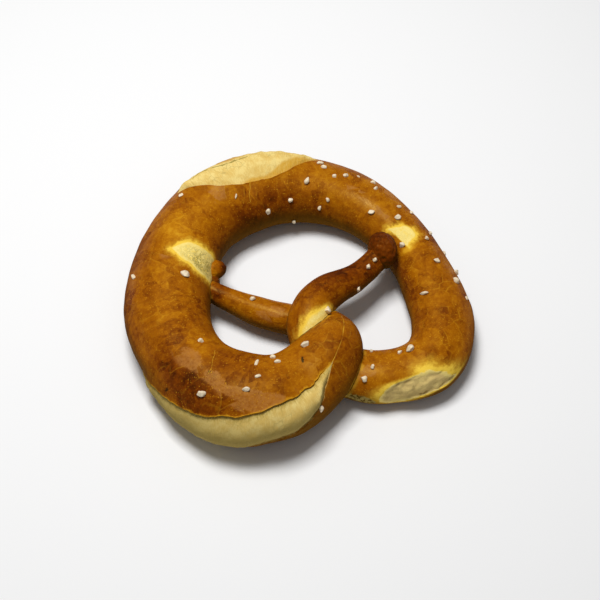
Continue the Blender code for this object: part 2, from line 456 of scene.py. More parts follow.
def roughen(mesh):
    """Moves the skin out and in by its lumps and grain, and flattens the underside."""
    places, angles, vertex = rope_chart(mesh)
    count = len(mesh.vertices)
    points, normals = np.zeros(3 * count), np.zeros(3 * count)
    mesh.vertices.foreach_get("co", points)
    mesh.vertices.foreach_get("normal", normals)
    points, normals = points.reshape(-1, 3), normals.reshape(-1, 3)
    split = np.maximum(*(split_depth(name, places, angles) for name in SPLITS))
    split = vertex_mean(split, vertex, count)
    torn = vertex_mean(patch_depth(TORN_PATCH, places, angles), vertex, count)
    height = roughness_at(points, LUMPS, LUMP_SEED)
    height += smooth_step(split / CRUMB_EDGE) * roughness_at(points, CRUMB_GRAIN, CRUMB_SEED)
    height += smooth_step(torn / CRUMB_EDGE) * roughness_at(points, TORN_GRAIN, TORN_SEED)
    points = points + normals * height[:, None]
    above = points[:, 2] / UNDERSIDE_EASE
    points[:, 2] = np.where(above > FAR_ABOVE, above, np.logaddexp(0, above)) * UNDERSIDE_EASE
    points[:, 2] -= points[:, 2].min()
    mesh.vertices.foreach_set("co", points.ravel())
    mesh.update()


roughen(pretzel.data)

# Colours of the crust.
# Lye browns the crust from gold to mahogany, darkest on the thin arms. Low on the sides it is darker
# still, partly browning and partly painted shade.
# Each spot: distance along, angle, reach along in mm, reach round in degrees, and how much darker
BAKE_AND_SHADE_SPOTS = [
    (10, 90, 30, 200, 0.26),
    (282, 132, 24, 22, 0.12),
    (240, 165, 60, 30, 0.2),
    (310, 165, 40, 30, 0.2),
    (175, 150, 22, 25, 0.2),
    (337, 90, 18, 22, -0.12),
    (300, 85, 14, 30, -0.1),
    (415, 60, 20, 35, 0.2),
    (430, 62, 14, 12, 0.04),
    (350, 130, 9, 45, -0.15),
    (50, 110, 7, 60, -0.1),
    (35, 60, 25, 50, 0.22),
    (437, 95, 14, 30, 0.17),
    (428, 45, 16, 18, 0.14),
    (95, 60, 9, 40, -0.14),
    (563, 100, 5, 200, 0.35),
    (520, 90, 10, 200, 0.15),
    (485, 45, 12, 25, 0.14),
    (28, 110, 14, 60, 0.08),
    (368, 65, 36, 50, 0.07),
    (150, 70, 50, 45, 0.04),
    (370, 5, 60, 32, 0.2),
    (160, 10, 60, 35, 0.12),
    (375, 150, 25, 30, 0.12),
    (189, 114, 1.8, 16, -0.7),
    (414, 95, 6, 14, -0.1),
]
PLAIN_BAKE = 0.5
KNOB_BAKE = 0.91
NUB_LIGHT_AND_SHADE = [(-36, 0.25), (-32, 0.5), (-28.5, 1.0)]      # where across it, in mm, and how dark: painted light on its left, painted shade on its right
FOLD_BAKE = 0.85

# Where the glaze broke into plates: distance along, angle, reach along, reach round, and how plainly
CRAZED_SPOTS = [
    (150, 90, 40, 60, 0.9),
    (285, 120, 30, 30, 0.6),
    (400, 90, 25, 45, 0.55),
    (370, 90, 25, 50, 0.15),
    (230, 100, 30, 40, 0.4),
    (432, 70, 20, 40, 0.5),
    (490, 60, 16, 60, 0.6),
    (334, 85, 12, 30, 0.7),
    (362, 80, 10, 40, 0.6),
]
MOTTLED_SPOTS = [(353, 138, 7, 26, 1.0)]    # olive mottling of the left lobe's stretch mark
HIGHLIGHT_SPOTS = [                             # painted highlights: paler pinkish plates, glossier than the crust round them
    (308, 101, 7, 14, 0.8),
    (414, 84, 9, 16, 0.9),
    (428, 80, 4, 8, 0.8),
    (437, 71, 6, 9, 0.8),
    (447, 60, 9, 14, 1.0),
    (226, 106, 17, 14, 0.9),
    (96, 75, 6, 22, 0.9),
    (532, 115, 9, 26, 1.0),
    (352, 84, 5, 10, 0.6),
]
# Burnt flecks: distance along, angle, half length and half width in mm, and turn in degrees
BURNT_FLECKS = [(472.5, 97, 1.9, 0.8, 35), (415, 26, 1.3, 0.7, 80), (425.8, 83, 0.7, 0.6, 0)]
CRACKS = [      # hairlines, each drawn through its points: distance along and angle
    [(481, 64), (483, 65.5), (485, 68.5), (489, 71), (492, 73), (496, 71), (500, 66)],
    [(291, 106), (292, 115), (294, 123), (295, 133)],
    [(420, 112), (422, 106), (423, 100), (425.5, 90), (426, 82)],
    [(311, 57), (307, 55), (303, 58), (300, 63), (297, 66), (293, 66.5), (290, 63), (287, 61)],
]
CRACK_REACH = 1.6 * MM
SEAM_JUMP = 20 * MM         # skins further apart than this along the rope met in the oven
SEAM_REACH = 6.0 * MM
WELL_OUTSIDE = -20.0        # told, in mm, for places that are off the rope or past a split's ends
SHARP_FOLD = math.radians(50)
# How wide the golden band beside the belly's split is, and where the split's far rim is browned
BAND_WIDTH = [
    (256, 0), (261, 2.1), (266, 4.6), (272, 5.8), (277, 3.4), (283, 2.3), (289, 2.7), (296, 0)
]
RIM_PATCH_ALONG = (280, 292, 296, 308)
RIM_PATCH_REACH = 10.5      # how far in from its lip the rim is browned, in mm
LOBE_SHADE_ALONG = (399, 428, 453, 466)     # the lobe's crumb is duller and darkened by painted shade at first, and creamy at its end
BUTTERY_ALONG = (70, 75)    # the first stretch mark is the yellowest
GLOSSY_ALONG = (45, 60, 490, 505)   # the thin arms took more glaze than the rest

# A scuffed strip low on the right lobe, where it parted from its neighbour: angle, then from and to
SCUFF = [(-16, 93, 98), (-4, 89, 100), (6, 88.5, 98), (14, 90, 96)]


def spotted(spots, base, places, angles):
    """A number on the crust: its base, and the spots where it is more or less."""
    value = np.full(len(places), float(base))
    for centre, turn, reach, spread, change in spots:
        away = ((places / MM - centre) / reach) ** 2 + ((np.degrees(angles) - turn) / spread) ** 2
        value += change * np.exp(-away)
    return value


def baked_and_shaded(places, angles, across):
    """How dark the crust is, about 0 for gold and 1 for mahogany, with painted shade and light in it;
    across is each corner's x.
    """
    bake_and_shade = spotted(BAKE_AND_SHADE_SPOTS, PLAIN_BAKE, places, angles)
    for mark, dark in ((KNOB_MARK, KNOB_BAKE), (FOLD_MARK, FOLD_BAKE)):
        bake_and_shade[abs(places - mark * MM) < MM] = dark
    # painted light and shade: the nub is golden on its left and dark on its right
    nub = abs(places - NUB_MARK * MM) < MM
    bake_and_shade[nub] = np.interp(across[nub] / MM, *zip(*NUB_LIGHT_AND_SHADE))
    return bake_and_shade


def crack_fields(places, angles):
    """Signed distance in millimetres to the nearest hairline crack, and 1 beside one, else 0."""
    radius = read_along(rope_radius, places)
    nearest = np.full(len(places), CRACK_REACH)
    signed = nearest.copy()
    for line in CRACKS:
        for (s0, t0), (s1, t1) in zip(line, line[1:]):
            run_s, run_t = (s1 - s0) * MM, np.radians(t1 - t0) * radius
            off_s, off_t = places - s0 * MM, (angles - np.radians(t0)) * radius
            part = np.clip((off_s * run_s + off_t * run_t) / (run_s**2 + run_t**2), 0, 1)
            away = np.hypot(off_s - part * run_s, off_t - part * run_t)
            side = np.where(off_s * run_t > off_t * run_s, 1.0, -1.0)
            closer = away < nearest
            nearest[closer], signed[closer] = away[closer], (away * side)[closer]
    return signed / MM, smooth_step(1.5 - 1.5 * nearest / CRACK_REACH)


def fleck_depth(places, angles):
    """Distance in millimetres inside the nearest burnt fleck; negative outside."""
    radius = read_along(rope_radius, places) / MM
    depth = np.full(len(places), -9.0)
    for centre, turn, length, width, swing in BURNT_FLECKS:
        off_s, off_t = places / MM - centre, (angles - math.radians(turn)) * radius
        cos, sin = math.cos(math.radians(swing)), math.sin(math.radians(swing))
        size = np.hypot((off_s * cos + off_t * sin) / length, (off_t * cos - off_s * sin) / width)
        depth = np.maximum(depth, (1 - size) * width)
    return depth


def seam_distance(mesh, places, vertex):
    """Distance in millimetres of every vertex from the nearest line where two skins met."""
    count = len(mesh.vertices)
    least, most = np.full(count, np.inf), np.full(count, -np.inf)
    np.minimum.at(least, vertex, places)
    np.maximum.at(most, vertex, places)
    met = most - least > SEAM_JUMP
    seam = np.flatnonzero(met & (least > (NUB_MARK + 1) * MM))
    tree = kdtree.KDTree(len(seam))
    for index in seam:
        tree.insert(mesh.vertices[index].co, index)
    tree.balance()
    away = np.array([tree.find(vert.co)[2] for vert in mesh.vertices])
    return np.minimum(away, SEAM_REACH) / MM


def lip_distance(name, places, angles, upper):
    """Distance in millimetres inward from one lip of a split; well outside past its ends."""
    low_lip, high_lip, outside = (read_along(table, places) for table in lips[name])
    away = high_lip - angles if upper else angles - low_lip
    return np.where(outside > 0, WELL_OUTSIDE, away * read_along(rope_radius, places) / MM)


def write_fields(mesh):
    """Stores on the mesh what the material reads."""
    places, angles, vertex = rope_chart(mesh)
    across = np.array([vert.co.x for vert in mesh.vertices])[vertex]
    crack, beside_crack = crack_fields(places, angles)
    fields = {
        "split": np.maximum(*(split_depth(name, places, angles) for name in SPLITS)) / MM,
        "torn": patch_depth(TORN_PATCH, places, angles) / MM,
        "mark": np.max([patch_depth(rows, places, angles) for rows in STRETCH_MARKS], axis=0) / MM,
        "scuff": patch_depth(SCUFF, places, angles) / MM,
        "lobe_lip": lip_distance("lobe", places, angles, True),
        "belly_lip": lip_distance("belly", places, angles, True),
        "belly_rim": lip_distance("belly", places, angles, False),
        "band": np.interp(places / MM, *zip(*BAND_WIDTH)),
        "rim_patch": np.interp(places / MM, RIM_PATCH_ALONG, (0, 1, 1, 0)),
        "mottled": np.clip(spotted(MOTTLED_SPOTS, 0.12, places, angles), 0, 1),
        "bake_and_shade": baked_and_shaded(places, angles, across),
        "crazed": np.clip(spotted(CRAZED_SPOTS, 0.15, places, angles), 0, 1),
        "highlight": spotted(HIGHLIGHT_SPOTS, 0, places, angles),
        "burnt": fleck_depth(places, angles),
        "lobe_shade": np.interp(places / MM, LOBE_SHADE_ALONG, (1, 0.95, 0.5, 0)),
        "buttery": np.interp(places / MM, BUTTERY_ALONG, (1, 0)),
        "glossy": np.interp(places / MM, GLOSSY_ALONG, (1, 0, 0, 1)),
        "crack": crack,
        "beside_crack": beside_crack,
    }
    off_rope = places < 0
    for name, values in fields.items():
        if name in ("split", "torn", "mark", "scuff"):
            values = np.where(off_rope, WELL_OUTSIDE, values)
        attribute = mesh.attributes.new(name, "FLOAT", "CORNER")
        attribute.data.foreach_set("value", values.astype(np.float32))
    seam = mesh.attributes.new("seam", "FLOAT", "POINT")
    seam.data.foreach_set("value", seam_distance(mesh, places, vertex).astype(np.float32))


write_fields(pretzel.data)
pretzel.data.polygons.foreach_set("use_smooth", np.ones(len(pretzel.data.polygons), bool))
pretzel.data.set_sharp_from_angle(angle=SHARP_FOLD)

# Sizes and colours of the finish
ROPE_MEAN = 15 * MM         # radius of the rope as the patterns that run along it take it
PLATE_SIZE = 9              # in mm, as the sizes of all patterns are
FLAKE_SIZE = 3.4
SCALE_SIZE = 4.6            # the belly's crumb rose in overlapping scales
GOLD = (0.62, 0.30, 0.012, 1)
HONEY = (0.46, 0.172, 0.003, 1)
CHESTNUT = (0.32, 0.094, 0.001, 1)
MAHOGANY = (0.16, 0.031, 0.0005, 1)
BURNT = (0.060, 0.009, 0.0005, 1)
CHAR = (0.018, 0.008, 0.003, 1)
HIGHLIGHT_PINK = (0.42, 0.17, 0.036, 1)
OLIVE = (0.10, 0.048, 0.001, 1)
CREAM = (0.86, 0.66, 0.235, 1)
CREAM_DEEP = (0.74, 0.50, 0.135, 1)
MILKY = (0.95, 0.75, 0.235, 1)
AMBER = (0.66, 0.36, 0.04, 1)
STRAW = (0.70, 0.40, 0.030, 1)
BUTTER = (0.90, 0.60, 0.065, 1)
MOSS = (0.22, 0.165, 0.018, 1)
KHAKI = (0.37, 0.27, 0.075, 1)
TORN_BEIGE = (0.66, 0.48, 0.18, 1)
CRUST_STOPS = [(0.0, GOLD), (0.25, HONEY), (0.5, CHESTNUT), (0.78, MAHOGANY), (1.0, BURNT)]
# Pale halo round bare crumb: how many mm out it is straw, and butter, and how streaky and how strong
HALOES = (("torn", 7.5, 3.9, 4.0, 1.0), ("mark", 4.4, 1.8, 6.0, 0.75))
GLAZE_TINT = (1.0, 0.78, 0.2, 1)


def shader_node(tree, kind, inputs=None, **settings):
    """Adds a shader node, sets it up, and fills or links its inputs."""
    made = tree.nodes.new("ShaderNode" + kind)
    for name, value in settings.items():
        setattr(made, name, value)
    for socket, value in (inputs or {}).items():
        if isinstance(value, bpy.types.NodeSocket):
            tree.links.new(value, made.inputs[socket])
        else:
            made.inputs[socket].default_value = value
    return made


def field(tree, name):
    """A number stored on the mesh."""
    return shader_node(tree, "Attribute", attribute_name=name).outputs["Fac"]


def math_of(tree, operation, first, second=0.0, third=0.0):
    """One sum of two or three numbers."""
    values = {0: first, 1: second, 2: third}
    return shader_node(tree, "Math", values, operation=operation).outputs[0]


def scaled(tree, value, factor, base):
    """A number taken factor times, on top of a base."""
    return math_of(tree, "MULTIPLY_ADD", value, factor, base)


def product(tree, *values):
    """All the numbers multiplied together."""
    total = values[0]
    for value in values[1:]:
        total = math_of(tree, "MULTIPLY", total, value)
    return total


def eased(tree, value, low, high):
    """0 where value is at low, 1 at high, and an ease between."""
    inputs = {"Value": value, "From Min": low, "From Max": high}
    made = shader_node(tree, "MapRange", inputs, interpolation_type="SMOOTHSTEP")
    return made.outputs["Result"]


def spot_on_rope(tree, shrink=1.0):
    """A place on the rope as if it lay straight; its length counts shrink times as much."""
    uv = shader_node(tree, "UVMap", uv_map="rope").outputs["UV"]
    chart = shader_node(tree, "SeparateXYZ", {"Vector": uv}).outputs
    inputs = {
        "X": product(tree, chart["X"], shrink),
        "Y": product(tree, math_of(tree, "COSINE", chart["Y"]), ROPE_MEAN),
        "Z": product(tree, math_of(tree, "SINE", chart["Y"]), ROPE_MEAN),
    }
    return shader_node(tree, "CombineXYZ", inputs).outputs[0]


def grain(tree, size, detail=3.0, rough=0.55, spot=None):
    """Cloudy noise whose patches are about size millimetres across, from 0 to 1."""
    spot = spot or shader_node(tree, "TexCoord").outputs["Object"]
    inputs = {"Vector": spot, "Scale": 1 / (size * MM), "Detail": detail, "Roughness": rough}
    return shader_node(tree, "TexNoise", inputs).outputs["Fac"]


def patches(tree, size, low, high, **looks):
    """Cloudy patches about size millimetres across: 0 where the noise is low, 1 where it is high."""
    return eased(tree, grain(tree, size, **looks), low, high)


def plates(tree, size):
    """Cracked plates of glaze: a random number for each, its middle, and the depth into it."""
    spot, size = spot_on_rope(tree, 1.3), size * MM
    waves = shader_node(tree, "TexNoise", {"Vector": spot, "Scale": 1 / size, "Detail": 3.0})
    shift = {0: waves.outputs["Color"], "Scale": 0.5 * size}
    shift = shader_node(tree, "VectorMath", shift, operation="SCALE").outputs[0]
    moved = shader_node(tree, "VectorMath", {0: spot, 1: shift}, operation="ADD").outputs[0]
    inputs = {"Vector": moved, "Scale": 1 / size}
    cell = shader_node(tree, "TexVoronoi", inputs, feature="F1").outputs
    number = shader_node(tree, "SeparateColor", {"Color": cell["Color"]}).outputs[0]
    edges = shader_node(tree, "TexVoronoi", inputs, feature="DISTANCE_TO_EDGE").outputs
    return number, cell["Position"], edges["Distance"]


def blended(tree, under, over, *shares):
    """Colour under, with colour over laid on it by the product of the shares."""
    colours = {0: product(tree, *shares), 6: under, 7: over}
    return shader_node(tree, "Mix", colours, data_type="RGBA").outputs[2]


def ramp(tree, value, stops):
    """Colours laid out along a value from 0 to 1."""
    made = shader_node(tree, "ValToRGB", {"Fac": value})
    band = made.color_ramp.elements
    while len(band) < len(stops):
        band.new(0.5)
    for element, (place, colour) in zip(band, stops):
        element.position = place
        element.color = colour
    return made.outputs["Color"]


def facing_up(tree):
    """1 where the surface faces straight up, 0 on an upright side."""
    normal = shader_node(tree, "NewGeometry").outputs["Normal"]
    return shader_node(tree, "SeparateXYZ", {"Vector": normal}).outputs["Z"]


def crack_line(tree, half_width):
    """1 on a hairline crack of about half_width millimetres to each side, else 0."""
    away = math_of(tree, "ABSOLUTE", field(tree, "crack"))
    line = eased(tree, away, half_width * 1.5, half_width * 0.5)
    return product(tree, line, eased(tree, field(tree, "beside_crack"), 0.2, 0.8))


def veins(tree, size, width):
    """1 on fine branching lines about size millimetres apart, else 0."""
    level = math_of(tree, "SUBTRACT", grain(tree, size, detail=6.0, rough=0.7), 0.5)
    return eased(tree, math_of(tree, "ABSOLUTE", level), width, width / 6)


def crust_colour(tree):
    """Gold to mahogany by how long each place baked and by the painted shade and light carried in the
    same field, in clouds and cracked plates.
    """
    number, middle, border = plates(tree, PLATE_SIZE)
    flake = plates(tree, FLAKE_SIZE)[0]
    crazed = field(tree, "crazed")
    bake_and_shade = field(tree, "bake_and_shade")
    clouds = (
        (grain(tree, 22), 0.5),
        (grain(tree, 7), 0.4),
        (grain(tree, 2.2, detail=6.0, rough=0.75), 0.7),
        (grain(tree, 2.0, spot=spot_on_rope(tree, 0.25)), 0.25),
        (number, product(tree, crazed, 0.2)),
        (flake, product(tree, patches(tree, 14, 0.4, 0.6), 0.22)),
        (grain(tree, 16, spot=middle), product(tree, crazed, 0.75)),
    )
    for cloud, strength in clouds:
        bake_and_shade = scaled(tree, math_of(tree, "SUBTRACT", cloud, 0.5), strength, bake_and_shade)
    colour = ramp(tree, bake_and_shade, CRUST_STOPS)
    line = eased(tree, border, 0.04, 0.0)
    patchy = patches(tree, 9, 0.4, 0.62)
    colour = blended(tree, colour, GOLD, line, patchy, crazed, 0.4)
    light = eased(tree, field(tree, "bake_and_shade"), 0.6, 0.42)
    crazing = product(tree, veins(tree, 4, 0.025), patches(tree, 8, 0.4, 0.6))
    colour = blended(tree, colour, GOLD, crazing, light, crazed, 0.6)
    return crust_marks(tree, with_painted_highlights(tree, colour, number))


def with_painted_highlights(tree, colour, number):
    """Painted highlights: paler pinkish plates on the highlight spots, plate by plate of that number.
    """
    speckled = grain(tree, 1.6, detail=6.0, rough=0.75)
    highlight = scaled(tree, speckled, 0.4, math_of(tree, "ADD", number, field(tree, "highlight")))
    highlight_spot = eased(tree, field(tree, "highlight"), 0.12, 0.4)
    highlight = product(tree, eased(tree, highlight, 1.1, 1.3), eased(tree, speckled, 0.2, 0.65), highlight_spot)
    # painted highlight: pinkish plates laid into the crust's colour
    return blended(tree, colour, HIGHLIGHT_PINK, highlight, 0.75)


def crust_marks(tree, colour):
    """Gold specks, burnt flecks and hairline cracks, and painted olive shade where the surface turns
    away from the top.
    """
    specks = patches(tree, 0.7, 0.63, 0.73, detail=1.0)
    on_light = eased(tree, field(tree, "bake_and_shade"), 0.95, 0.7)
    colour = blended(tree, colour, GOLD, specks, patches(tree, 12, 0.3, 0.6), on_light, 0.6)
    ragged_fleck = math_of(tree, "ADD", grain(tree, 1.2), field(tree, "burnt"))
    colour = blended(tree, colour, CHAR, eased(tree, ragged_fleck, 0.4, 0.7), 0.9)
    faint = patches(tree, 5, 0.3, 0.6)
    colour = blended(tree, colour, STRAW, crack_line(tree, 0.13), faint, 0.75)
    # painted shade: olive laid on where the surface faces sideways or down
    return blended(tree, colour, OLIVE, eased(tree, facing_up(tree), 0.6, -0.1), 0.78)


def halo(tree, colour):
    """Thin crust round the torn patch and the stretch marks is straw gold, with painted light making
    it brightest where the surface faces up.
    """
    wobble = scaled(tree, grain(tree, 3, detail=7.0, rough=0.75), 8.0, -4.0)
    streaks = grain(tree, 1.9, detail=4.0, rough=0.65, spot=spot_on_rope(tree, 0.25))
    streaks = product(tree, math_of(tree, "SUBTRACT", streaks, 0.5), patches(tree, 7, 0.3, 0.7))
    # painted light: the straw is fuller, and the butter shows only, where the surface faces up
    upper = eased(tree, facing_up(tree), -0.1, 0.5)
    faded = scaled(tree, upper, 0.5, 0.5)
    for name, reach, bright_reach, drawn_out, brightness in HALOES:
        drawn = scaled(tree, streaks, drawn_out, wobble)
        away = math_of(tree, "ADD", field(tree, name), drawn)
        colour = blended(tree, colour, STRAW, eased(tree, away, -reach, 0.3), faded, 0.95)
        close = eased(tree, away, -bright_reach, -0.2)
        colour = blended(tree, colour, BUTTER, close, upper, brightness)
    return colour


def torn_edge(tree, colour):
    """The thin gold edge where the left lobe's crust tore away from its crumb."""
    lip = field(tree, "lobe_lip")
    ragged_lip = scaled(tree, grain(tree, 1.4), 2.4, lip)
    on_crust = product(tree, eased(tree, ragged_lip, 0.1, 1.1), eased(tree, lip, 0.5, 0.25))
    patchy = scaled(tree, patches(tree, 6, 0.35, 0.6), 0.5, 0.3)
    return blended(tree, colour, GOLD, on_crust, patchy)


def seam_fringe_and_shade(tree, colour):
    """A painted dark olive shadow line in the crease where two skins met, with a paler fringe in
    places.
    """
    away = field(tree, "seam")
    patchy = patches(tree, 8, 0.45, 0.65)
    colour = blended(tree, colour, STRAW, eased(tree, away, 2.2, 0.8), patchy, 0.5)
    # painted shadow: dark olive in the crease between the two skins
    wavy = math_of(tree, "ADD", away, grain(tree, 2.0))
    return blended(tree, colour, OLIVE, eased(tree, wavy, 1.0, 0.5), 0.9)


def split_colour(tree):
    """Cream crumb drawn out in fibres from lip to lip, with painted khaki shade where it faces away
    from the top and a painted olive shadow under the left lobe's torn lip.
    """
    fibres = grain(tree, 1.6, detail=5.0, rough=0.65, spot=spot_on_rope(tree, 4.0))
    cloud = scaled(tree, grain(tree, 5, detail=5.0), 0.55, product(tree, fibres, 0.45))
    colour = blended(tree, CREAM, CREAM_DEEP, eased(tree, cloud, 0.42, 0.6))
    colour = blended(tree, colour, CREAM_DEEP, veins(tree, 5.0, 0.03), 0.35)
    scale_edge = eased(tree, plates(tree, SCALE_SIZE)[2], 0.05, 0.0)
    scaly = patches(tree, 12, 0.4, 0.6)
    colour = blended(tree, colour, KHAKI, scale_edge, scaly, 0.4)
    # painted shade: crumb that faces outward and down is darkened toward khaki
    colour = blended(tree, colour, KHAKI, eased(tree, facing_up(tree), 0.85, 0.1), 0.9)
    lobe = field(tree, "lobe_lip")
    inside = eased(tree, lobe, -1.0, 0.0)
    # painted shade, with a duller crumb: the lobe's split is darkened toward khaki at first
    colour = blended(tree, colour, KHAKI, inside, field(tree, "lobe_shade"), 0.62)
    # painted shadow: olive under the left lobe's overhanging torn lip, reaching in by the fibres
    reach = scaled(tree, fibres, 5.0, 0.5)
    shade = eased(tree, math_of(tree, "SUBTRACT", reach, lobe), 0.0, 3.5)
    colour = blended(tree, colour, MOSS, inside, shade, 0.6)
    broken = scaled(tree, patches(tree, 3, 0.35, 0.6), 0.65, 0.2)
    colour = blended(tree, colour, MOSS, crack_line(tree, 0.3), broken)
    return belly_details(tree, colour, fibres)


def belly_details(tree, colour, fibres):
    """The belly's split has a golden band beside one lip and a browned rim along the other."""
    wobble = scaled(tree, fibres, 3.0, -1.5)
    across = math_of(tree, "ADD", field(tree, "belly_lip"), wobble)
    band = eased(tree, math_of(tree, "SUBTRACT", field(tree, "band"), across), -0.2, 1.4)
    streaky = scaled(tree, fibres, 1.2, 0.25)
    at_belly = eased(tree, field(tree, "belly_lip"), -1.0, 0.0)
    colour = blended(tree, colour, AMBER, band, streaky, at_belly)
    from_rim = field(tree, "belly_rim")
    rim = scaled(tree, field(tree, "rim_patch"), -RIM_PATCH_REACH, from_rim)
    rim = math_of(tree, "ADD", rim, wobble)
    rim = scaled(tree, grain(tree, 7, detail=6.0, rough=0.65), 10.0, rim)
    mottle = scaled(tree, patches(tree, 3, 0.35, 0.65, detail=6.0), 0.5, 0.3)
    inside = eased(tree, from_rim, -1.0, 0.0)
    return blended(tree, colour, HONEY, inside, eased(tree, rim, 7.5, 4.0), mottle)


def mark_colour(tree):
    """Pale stretched skin, edged and freckled with yellow, mottled olive and finely cracked."""
    inner = product(tree, eased(tree, field(tree, "mark"), 0.4, 2.6), field(tree, "mottled"))
    cloud = patches(tree, 4.5, 0.38, 0.62, detail=7.0, rough=0.7)
    colour = blended(tree, MILKY, KHAKI, cloud, inner, 0.58)
    colour = blended(tree, colour, MOSS, veins(tree, 3.2, 0.035), inner, 0.9)
    freckles = patches(tree, 1.6, 0.48, 0.64, detail=6.0, rough=0.75)
    colour = blended(tree, colour, BUTTER, freckles, 0.5)
    streaks = grain(tree, 1.8, spot=spot_on_rope(tree, 0.3))
    edge = scaled(tree, streaks, 3.0, field(tree, "mark"))
    edge = scaled(tree, field(tree, "buttery"), -0.5, edge)
    return blended(tree, colour, BUTTER, eased(tree, edge, 3.0, 1.0), 0.8)


def torn_colour(tree):
    """Open crumb, beige and cloudy, creamier along its edge, with a few dark holes."""
    mottle = patches(tree, 5.0, 0.38, 0.68, detail=7.0, rough=0.75)
    colour = blended(tree, TORN_BEIGE, CREAM, mottle, 0.7)
    edge = scaled(tree, grain(tree, 2.5), 2.0, field(tree, "torn"))
    colour = blended(tree, colour, MILKY, eased(tree, edge, 3.2, 1.6), 0.85)
    pores = patches(tree, 2.8, 0.67, 0.74, detail=2.0)
    return blended(tree, colour, MOSS, pores, 0.8)


def scuff_colour(tree):
    """Rough olive strip, pitted where it was rubbed open."""
    return blended(tree, KHAKI, OLIVE, patches(tree, 1.4, 0.45, 0.6))


def new_material(name):
    """A new material, its node tree and its shader."""
    material = bpy.data.materials.new(name)
    material.use_nodes = True
    return material, material.node_tree, material.node_tree.nodes["Principled BSDF"]


def crust_and_crumb():
    """The whole skin: crust, and the kinds of bare crumb."""
    material, tree, shader = new_material("crust_and_crumb")
    ragged_edge = scaled(tree, grain(tree, 1.6, detail=4.0), 1.2, -0.6)
    bare = 0.0
    colour = halo(tree, crust_colour(tree))
    finishes = (
        ("scuff", scuff_colour, 2.0),
        ("mark", mark_colour, 1.4),
        ("torn", torn_colour, 2.0),
        ("split", split_colour, 0.3),
    )
    for name, finish, raggedness in finishes:
        edge = scaled(tree, ragged_edge, raggedness, field(tree, name))
        share = eased(tree, edge, -0.12, 0.12 if name == "split" else 0.6)
        colour = blended(tree, colour, finish(tree), share)
        bare = math_of(tree, "MAXIMUM", bare, share)
    tree.links.new(seam_fringe_and_shade(tree, torn_edge(tree, colour)), shader.inputs["Base Color"])
    tree.links.new(satin_finish(tree, bare), shader.inputs["Roughness"])
    shader.inputs["IOR"].default_value = 1.45
    shader.inputs["Specular IOR Level"].default_value = 0.15
    shader.inputs["Specular Tint"].default_value = GLAZE_TINT
    tree.links.new(skin_relief(tree, bare), shader.inputs["Normal"])
    return material


def satin_finish(tree, bare):
    """Roughness: satin on top of the crust, plate by plate, dull on its sides and on bare crumb."""
    satin = scaled(tree, grain(tree, 4, detail=7.0, rough=0.7), 0.5, 0.1)
    changes = (
        (plates(tree, PLATE_SIZE)[0], 0.26),
        (plates(tree, FLAKE_SIZE)[0], 0.1),
        (field(tree, "glossy"), -0.08),
        (field(tree, "highlight"), -0.22),
    )
    for change, strength in changes:
        satin = scaled(tree, change, strength, satin)
    dull = math_of(tree, "MAXIMUM", bare, eased(tree, facing_up(tree), 0.85, 0.35))
    return shader_node(tree, "Mix", {0: dull, 2: satin, 3: 0.95}).outputs[0]


def skin_relief(tree, bare):
    """Fine relief: orange peel on the crust, spongy grain on bare crumb, grooves along cracks."""
    fine = grain(tree, 0.9, detail=4.0, rough=0.6)
    skin = grain(tree, 3.0, detail=3.0)
    peel = scaled(tree, fine, 0.3, product(tree, skin, 0.7))
    fibres = grain(tree, 1.2, detail=6.0, rough=0.7, spot=spot_on_rope(tree, 3.0))
    kinds = {0: bare, 2: peel, 3: product(tree, fibres, 2.4)}
    height = shader_node(tree, "Mix", kinds).outputs[0]
    height = scaled(tree, crack_line(tree, 0.3), -0.5, height)
    inputs = {"Height": height, "Distance": 0.16 * MM, "Strength": 1.0}
    return shader_node(tree, "Bump", inputs).outputs["Normal"]


pretzel.data.materials.clear()
pretzel.data.materials.append(crust_and_crumb())
pretzel.data.polygons.foreach_set("material_index", np.zeros(len(pretzel.data.polygons), np.int32))
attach(pretzel, "root")
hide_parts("pretzel")

